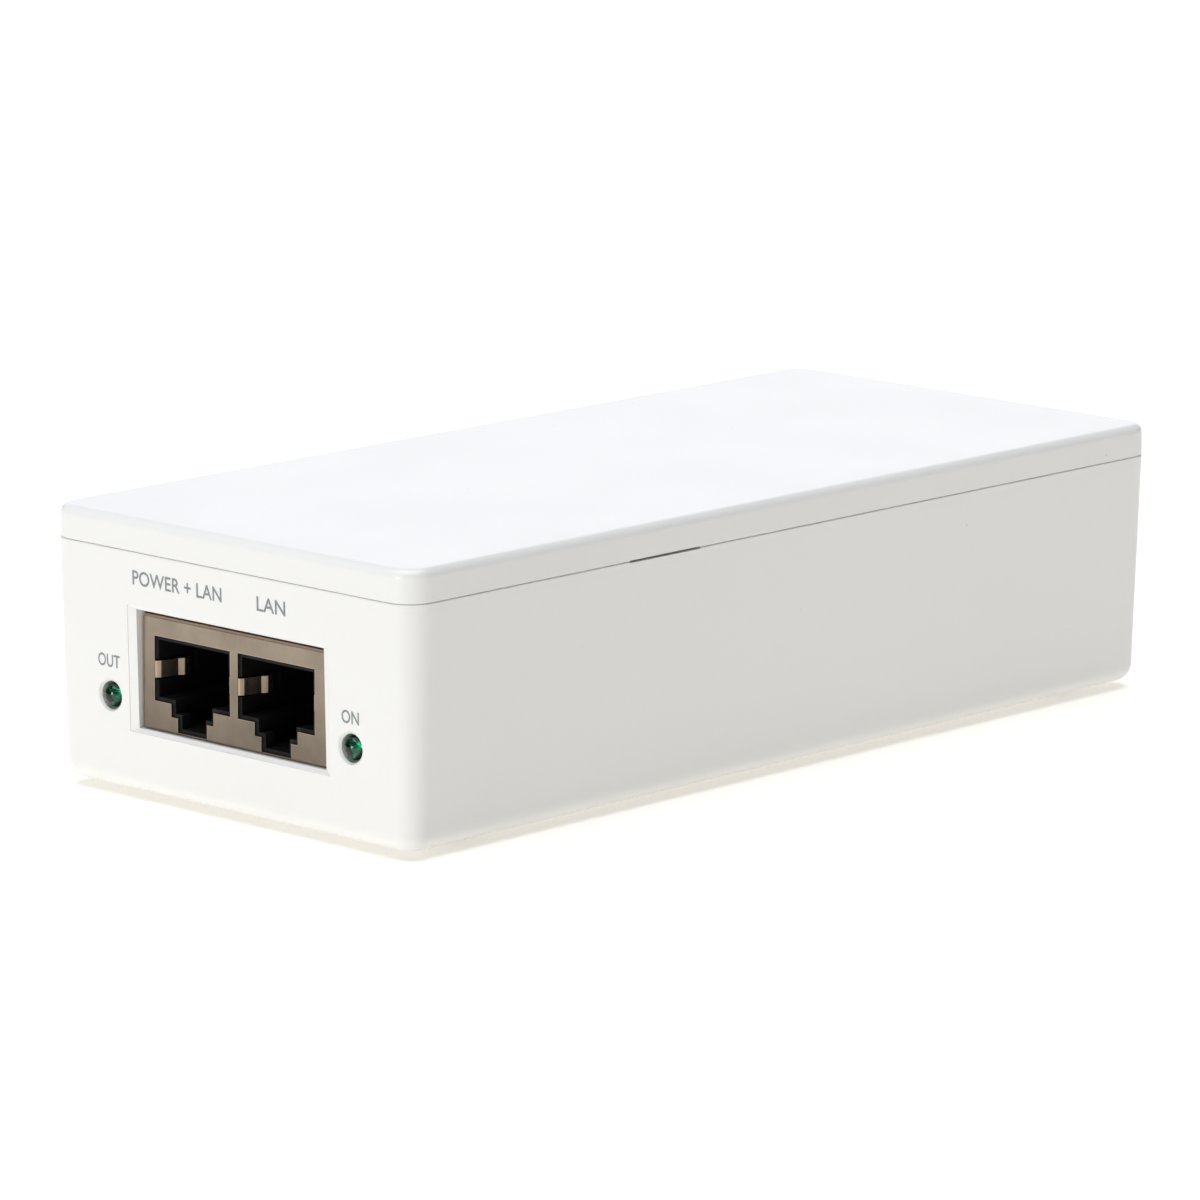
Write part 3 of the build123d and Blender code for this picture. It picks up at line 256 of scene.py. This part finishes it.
def shield_nickel():
    """Nickel plate with painted shade, darker towards the board; a lighter, warmer colour at its edges and
    bends is a painted edge highlight, with the warm tint of the bare metal under the plate at cut edges.
    """
    # the edge colour is a painted edge highlight, lighter and warmer than the plating
    g = metal("shield_nickel", (0.345, 0.285, 0.225), 0.34, brush=(1, 1, 0.06), brush_scale=2600,
              tarnish=0.28, depth=0.004, edge=(0.56, 0.43, 0.32))
    board_top, shield_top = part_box("main_board")[1].z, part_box("jack_shield")[1].z
    plated = g.shader.inputs["Base Color"].links[0].from_socket
    # painted shade: the plating's colour is scaled from 0.62 at the board's top up to 1.08 at the shield's
    # top
    painted_shade_by_height = g.remap(g.axis(g.place(), 2), board_top, shield_top, 0.62, 1.08)
    painted_shade_plating = g.node("ShaderNodeVectorMath", {"Vector": plated, "Scale": painted_shade_by_height}, operation="SCALE")
    g.set(Base_Color=painted_shade_plating.outputs[0])
    return g


def lamp_epoxy():
    """Clear green epoxy, deep in colour, with a faint haze in its surface."""
    g = Graph("lamp_epoxy")
    g.set(Base_Color=g.mix(g.blotches(700, 2), (0.035, 0.50, 0.25), (0.022, 0.40, 0.20)),
          Roughness=g.remap(g.noise(500, 3), 0.3, 0.7, 0.02, 0.07), IOR=1.5, Transmission_Weight=1.0,
          Specular_IOR_Level=0.3)
    return g


def striped_sleeve(name, flat_axis, stripe):
    """Shrink sleeve on an electrolytic can: bare metal on the flat end, a pale stripe where stripe is 1."""
    g = moulded(name, (0.020, 0.024, 0.045), rough=0.25, grain=900, coat=0.2)
    body = g.shader.inputs["Base Color"].links[0].from_socket
    crinkle = g.noise(500, 3, stretch=(1, 1, 3))
    pale = g.mix(g.remap(crinkle, 0.3, 0.7, 0, 1), (0.50, 0.53, 0.56), (0.42, 0.45, 0.49))
    end = g.math("GREATER_THAN", g.math("ABSOLUTE", g.axis(g.normal(), flat_axis)), 0.97)
    painted = g.mix(stripe(g), body, pale)
    g.set(Base_Color=g.mix(end, painted, (0.62, 0.63, 0.64)), Metallic=end)
    return g


def can_row_stripe(g):
    """Down the side of each upright can that faces away from the output heatsink."""
    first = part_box("output_capacitors")[0].x + CAN_RADIUS
    across = g.math("SUBTRACT", g.axis(g.place(), 0), first - CAN_PITCH / 2)
    across = g.math("SUBTRACT", g.math("MODULO", across, CAN_PITCH), CAN_PITCH / 2)
    return g.math("LESS_THAN", across, -0.88 * CAN_RADIUS)


def long_can_stripe(g):
    """Along the lying can, at ten o'clock seen from its vent end."""
    low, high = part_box("bulk_capacitor")
    y = g.math("SUBTRACT", g.axis(g.place(), 1), (low.y + high.y) / 2)
    z = g.math("SUBTRACT", g.axis(g.place(), 2), (low.z + high.z) / 2)
    radius = (high.y - low.y) / 2
    towards = g.math("SUBTRACT", g.math("MULTIPLY", z, 0.8), g.math("MULTIPLY", y, 0.6))
    return g.math("GREATER_THAN", towards, 0.93 * radius)


def board_laminate():
    """Green solder mask with the relief of copper tracks under it."""
    g = Graph("board_laminate")
    cells = g.node("ShaderNodeTexVoronoi", {"Vector": g.place(), "Scale": 190.0, "Randomness": 0.75},
                   distance="CHEBYCHEV", feature="F1")
    track = g.math("LESS_THAN", g.math("ABSOLUTE", g.math("SUBTRACT", cells.outputs["Distance"], 0.42)), 0.09)
    mask = g.mix(track, (0.012, 0.085, 0.040), (0.022, 0.150, 0.070))
    g.set(Base_Color=mask, Roughness=g.remap(g.noise(300, 3), 0.3, 0.7, 0.22, 0.36),
          Normal=g.bump(track, 0.5, 0.035 * MM), Coat_Weight=0.3, Coat_Roughness=0.15)
    return g


def wound_tape():
    g = Graph("winding_tape")
    layers = g.noise(1400, 2, 0.5, stretch=(0.02, 1, 1))
    g.set(Base_Color=g.mix(g.remap(layers, 0.35, 0.65, 0, 1), (0.80, 0.60, 0.05), (0.66, 0.46, 0.03)),
          Roughness=g.remap(g.noise(200, 3), 0.3, 0.7, 0.25, 0.4), Coat_Weight=0.4,
          Normal=g.bump(layers, 0.4, 0.03 * MM))
    return g


def ferrite():
    g = Graph("ferrite")
    grain = g.noise(2600, 4, 0.6)
    g.set(Base_Color=g.mix(g.remap(grain, 0.3, 0.7, 0, 1), (0.030, 0.030, 0.032), (0.052, 0.050, 0.050)),
          Roughness=g.remap(grain, 0.3, 0.7, 0.42, 0.62), Normal=g.bump(grain, 0.4, 0.02 * MM))
    return g


def glass_tube():
    g = Graph("fuse_glass")
    g.set(Base_Color=(0.96, 0.98, 0.98), Transmission_Weight=1.0, IOR=1.47,
          Roughness=g.remap(g.noise(400, 3), 0.3, 0.7, 0.02, 0.06))
    return g


def dipped(name, colour):
    """Epoxy-dipped component: soft lumps and a glossy skin."""
    g = Graph(name)
    lumps = g.noise(420, 3, 0.5)
    g.set(Base_Color=g.mix(g.remap(lumps, 0.3, 0.7, 0, 1), colour, tuple(c * 0.75 for c in colour)),
          Roughness=g.remap(lumps, 0.3, 0.7, 0.22, 0.34), Coat_Weight=0.5, Coat_Roughness=0.12,
          Normal=g.bump(lumps, 0.5, 0.08 * MM))
    return g


def label_film():
    g = Graph("label_film")
    fleck = g.noise(2400, 3, 0.6)
    g.set(Base_Color=g.mix(g.remap(fleck, 0.3, 0.7, 0, 1), (0.62, 0.63, 0.65), (0.70, 0.71, 0.72)),
          Roughness=g.remap(g.noise(150, 3), 0.3, 0.7, 0.38, 0.5), Metallic=0.35,
          Normal=g.bump(fleck, 0.2, 0.01 * MM))
    return g


def dress_nodes():
    dress(case_plastic(), "base_shell", "top_cover")
    dress(moulded("foot_rubber", (0.035, 0.035, 0.037), rough=0.75, grain=2600, grain_depth=0.02, drift=0.2),
          "rubber_feet")
    dress(metal("screw_steel", (0.60, 0.60, 0.58), 0.32, tarnish=0.2), "cover_screws", "heatsink_screws")
    dress(label_film(), "rating_label")
    dress(moulded("insulating_film", (0.05, 0.05, 0.055), rough=0.3, grain=1500, coat=0.3),
          "insulation_sheet")
    dress(shield_nickel(), "jack_shield")
    dress(moulded("jack_nylon", (0.005, 0.005, 0.0055), rough=0.6, grain=3000, grain_depth=0.01, drift=0.3,
                  specular=0.22), "jack_housing", "contact_carriers")
    dress(metal("contact_gold", (0.88, 0.62, 0.25), 0.2, tarnish=0.12),
          "output_port_contacts", "input_port_contacts")
    dress(lamp_epoxy(), "left_status_light", "right_status_light")
    dress(metal("tinned_copper", (0.72, 0.71, 0.68), 0.28, tarnish=0.2), "light_leads", "component_leads",
          "bulk_capacitor_leads", "power_tabs")
    dress(moulded("spacer_nylon", (0.62, 0.60, 0.54), rough=0.5), "light_spacers")
    dress(moulded("inlet_plastic", (0.018, 0.018, 0.020), rough=0.28, grain=2200, drift=0.25, coat=0.15),
          "mains_inlet")
    dress(metal("blade_nickel", (0.70, 0.68, 0.64), 0.22, brush=(1, 0.05, 1), brush_scale=2400),
          "inlet_pins", "fuse_caps", "fuse_clips")
    dress(glass_tube(), "fuse_tube")
    dress(dipped("varistor_epoxy", (0.05, 0.13, 0.42)), "surge_varistor")
    dress(dipped("disc_epoxy", (0.06, 0.20, 0.50)), "y_capacitors")
    dress(moulded("film_capacitor_box", (0.72, 0.55, 0.08), rough=0.35, grain=1800), "x_capacitor")
    dress(ferrite(), "choke_core", "transformer_core", "output_choke_core")
    dress(metal("enamelled_copper", (0.70, 0.27, 0.10), 0.24, tarnish=0.3),
          "choke_windings", "output_choke_winding")
    dress(moulded("bobbin_phenolic", (0.030, 0.026, 0.022), rough=0.5, grain=1500, grain_depth=0.01),
          "choke_stand", "transformer_bobbin")
    dress(moulded("package_epoxy", (0.022, 0.022, 0.023), rough=0.55, grain=4200, grain_depth=0.01),
          "bridge_rectifier", "switching_transistor", "output_diode", "control_chips")
    dress(moulded("data_magnetics", (0.030, 0.030, 0.031), rough=0.38, grain=2600, grain_depth=0.006),
          "data_transformers")
    dress(striped_sleeve("long_can_sleeve", 0, long_can_stripe), "bulk_capacitor")
    dress(striped_sleeve("can_row_sleeve", 2, can_row_stripe), "output_capacitors")
    dress(metal("heatsink_aluminium", (0.74, 0.75, 0.76), 0.36, brush=(1, 0.04, 1), brush_scale=1800,
                tarnish=0.08), "primary_heatsink", "output_heatsink")
    dress(wound_tape(), "transformer_winding")
    dress(moulded("chip_ceramic", (0.20, 0.15, 0.10), rough=0.5, grain=4000), "chip_parts")
    dress(board_laminate(), "main_board")


# ---- printed words -----------------------------------------------------------------------
FRONT_LEAN = math.tan(math.radians(1.58))
FRONT_SEAM_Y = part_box("base_shell")[0].y
SEAM_Z = 30.1 * MM
INK_SPREAD = 0.03 * MM       # thickens the strokes
INK_PROUD = 0.012 * MM       # holds the ink off the plastic
LETTER_SPACING = 1.02
CAPITAL_HEIGHT = 0.72        # of a typeface's size


def front_y(z):
    """The front wall leans in towards the desk below the seam."""
    return FRONT_SEAM_Y + (SEAM_Z - z) * FRONT_LEAN


def printed(name, words, left, right, bottom, height, ink):
    """One line of plain print on the front wall, fitted between left and right."""
    curve = bpy.data.curves.new(name, "FONT")
    curve.body = words
    curve.size = height / CAPITAL_HEIGHT
    curve.space_character = LETTER_SPACING
    curve.offset = INK_SPREAD
    text = bpy.data.objects.new(name, curve)
    bpy.context.scene.collection.objects.link(text)
    bpy.context.view_layer.update()
    mesh = bpy.data.meshes.new_from_object(text.evaluated_get(bpy.context.evaluated_depsgraph_get()))
    bpy.data.objects.remove(text)
    xs = [v.co.x for v in mesh.vertices]
    stretch = (right - left) / (max(xs) - min(xs))
    for v in mesh.vertices:
        v.co.x = left + (v.co.x - min(xs)) * stretch
    piece = bpy.data.objects.new(name, mesh)
    bpy.context.scene.collection.objects.link(piece)
    mesh.materials.append(ink)
    for v in mesh.vertices:
        z = bottom + v.co.y
        v.co = Vector((v.co.x, front_y(z) - INK_PROUD, z))
    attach(piece, "base")
    return piece


def print_labels():
    """Captions over the ports and the lights. Each row gives, in millimetres, its left and right ends,
    its height above the base's underside and the height of its capitals."""
    g = Graph("label_ink")
    wear = g.remap(g.noise(2200, 3, 0.6), 0.3, 0.75, 0, 1)
    g.set(Base_Color=g.mix(wear, (0.205, 0.235, 0.235), (0.26, 0.29, 0.29)), Roughness=0.5)
    for name, words, left, right, bottom, height in (
            ("print_output_port", "POWER + LAN", -15.6, -0.6, 25.45, 1.75),
            ("print_input_port", "LAN", 5.2, 9.9, 25.35, 1.75),
            ("print_left_light", "OUT", -21.9, -18.2, 14.85, 1.55),
            ("print_right_light", "ON", 18.7, 21.5, 14.3, 1.55)):
        piece = printed(name, words, left * MM, right * MM, FOOT_PROUD + bottom * MM, height * MM, g.material)


# ---- small parts that only the looks need ------------------------------------------------
def mesh_piece(name, verts, faces, material):
    """A piece of the base made of plain faces."""
    mesh = bpy.data.meshes.new(name)
    mesh.from_pydata([tuple(v) for v in verts], [], faces)
    mesh.materials.append(material)
    piece = bpy.data.objects.new(name, mesh)
    bpy.context.scene.collection.objects.link(piece)
    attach(piece, "base")


def box_faces(verts, faces, xs, ys, zs):
    """Adds a closed box between two places along each axis."""
    n = len(verts)
    verts += [Vector((x, y, z)) for x in xs for y in ys for z in zs]
    faces += [tuple(n + i for i in quad) for quad in
              ((0, 1, 3, 2), (4, 6, 7, 5), (0, 4, 5, 1), (2, 3, 7, 6), (0, 2, 6, 4), (1, 5, 7, 3))]


DISH_RINGS = ((2.25, 0.30), (1.75, 0.62), (2.25, 0.62), (2.9, 0.55))     # mm behind the tip, radius in mm
DISH_STEPS = 20
DISH_OFFSET = -0.2           # mm across from the lamp's axis


def add_dish(verts, faces, x, tip, z):
    """The anvil: a round post with a dish in its front end. The rings run floor, lip, outside, base."""
    for depth, radius in DISH_RINGS:
        verts += [Vector((px, tip + depth * MM, pz)) for px, pz in circle(x, z, radius * MM, DISH_STEPS)]
    for ring in range(len(DISH_RINGS) - 1):
        for i in range(DISH_STEPS):
            j = (i + 1) % DISH_STEPS
            near, far = ring * DISH_STEPS, (ring + 1) * DISH_STEPS
            faces.append((near + i, near + j, far + j, far + i))
    faces.append(tuple(range(DISH_STEPS)))
    last = (len(DISH_RINGS) - 1) * DISH_STEPS
    faces.append(tuple(last + i for i in reversed(range(DISH_STEPS))))


def lamp_insides():
    """The metal inside each clear lamp: the dished anvil on its leg, and a thinner post beside it."""
    look = metal("lead_frame", (0.75, 0.74, 0.71), 0.25).material
    for name in ("left_status_light", "right_status_light"):
        low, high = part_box(name)
        x, z, tip, back = (low.x + high.x) / 2, (low.z + high.z) / 2, low.y, high.y - 0.2 * MM
        verts, faces = [], []
        add_dish(verts, faces, x + DISH_OFFSET * MM, tip, z)
        for left, right, front, half in ((-0.6, -0.1, 2.92, 0.25), (0.65, 1.05, 2.0, 0.2)):
            box_faces(verts, faces, (x + left * MM, x + right * MM), (tip + front * MM, back),
                      (z - half * MM, z + half * MM))
        mesh_piece(name + "_lead_frame", verts, faces, look)


def flat_ring(verts, faces, outer, inner, z):
    """A flat ring between two outlines with the same number of points."""
    n, count = len(verts), len(outer)
    verts += [Vector((x, y, z)) for x, y in outer] + [Vector((x, y, z)) for x, y in inner]
    for i in range(count):
        j = (i + 1) % count
        faces.append((n + i, n + j, n + count + j, n + count + i))


def rectangle(x0, x1, y0, y1, grow=0.0):
    return [(x0 - grow, y0 - grow), (x1 + grow, y0 - grow), (x1 + grow, y1 + grow), (x0 - grow, y1 + grow)]


def circle(x, y, radius, steps=40):
    turns = [2 * math.pi * i / steps for i in range(steps)]
    return [(x + radius * math.cos(turn), y + radius * math.sin(turn)) for turn in turns]


def speckled_ink(name, colour, worn, rough):
    g = Graph(name)
    g.set(Base_Color=g.mix(g.blotches(3000), colour, worn), Roughness=rough)
    return g.material


def board_print():
    """White outlines on the board around the larger parts."""
    line, gap = 0.18 * MM, 0.5 * MM
    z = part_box("main_board")[1].z + 0.02 * MM
    board_back, choke_ring = 62.4 * MM, 6.6 * MM
    verts, faces = [], []

    def ring_round(x, y, radius):
        flat_ring(verts, faces, circle(x, y, radius + line), circle(x, y, radius), z)

    for name in ("x_capacitor", "bridge_rectifier", "transformer_bobbin", "surge_varistor", "bulk_capacitor",
                 "mains_inlet"):
        low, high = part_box(name)
        sides = (low.x, high.x, low.y, min(high.y, board_back))
        flat_ring(verts, faces, rectangle(*sides, gap + line), rectangle(*sides, gap), z)
    low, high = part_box("output_capacitors")
    radius = (high.y - low.y) / 2
    for i in range(3):
        ring_round(low.x + radius + i * CAN_PITCH, (low.y + high.y) / 2, radius + 0.3 * MM)
    low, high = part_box("output_choke_core")
    ring_round((low.x + high.x) / 2, (low.y + high.y) / 2, choke_ring)
    ink = speckled_ink("board_ink", (0.78, 0.78, 0.74), (0.66, 0.66, 0.63), 0.6)
    mesh_piece("board_print", verts, faces, ink)


def label_rules():
    """The rating label's blank form: a border and ruled rows, with no words."""
    line, margin, rows = 0.25 * MM, 2.0 * MM, 7
    low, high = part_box("rating_label")
    z = low.z - 0.01 * MM
    sides = (low.x, high.x, low.y, high.y)
    verts, faces = [], []
    flat_ring(verts, faces, rectangle(*sides, -margin), rectangle(*sides, -margin - line), z)
    for i in range(1, rows):
        y = low.y + margin + (high.y - low.y - 2 * margin) * i / rows
        n = len(verts)
        ends = (low.x + 2 * margin, high.x - 2 * margin)
        verts += [Vector((x, edge, z)) for edge in (y, y + line * 0.7) for x in ends]
        faces.append((n, n + 1, n + 3, n + 2))
    ink = speckled_ink("label_ink_rules", (0.05, 0.05, 0.055), (0.09, 0.09, 0.10), 0.5)
    mesh_piece("label_rules", verts, faces, ink)


aim_camera()
studio()
dress_nodes()
print_labels()
lamp_insides()
board_print()
label_rules()
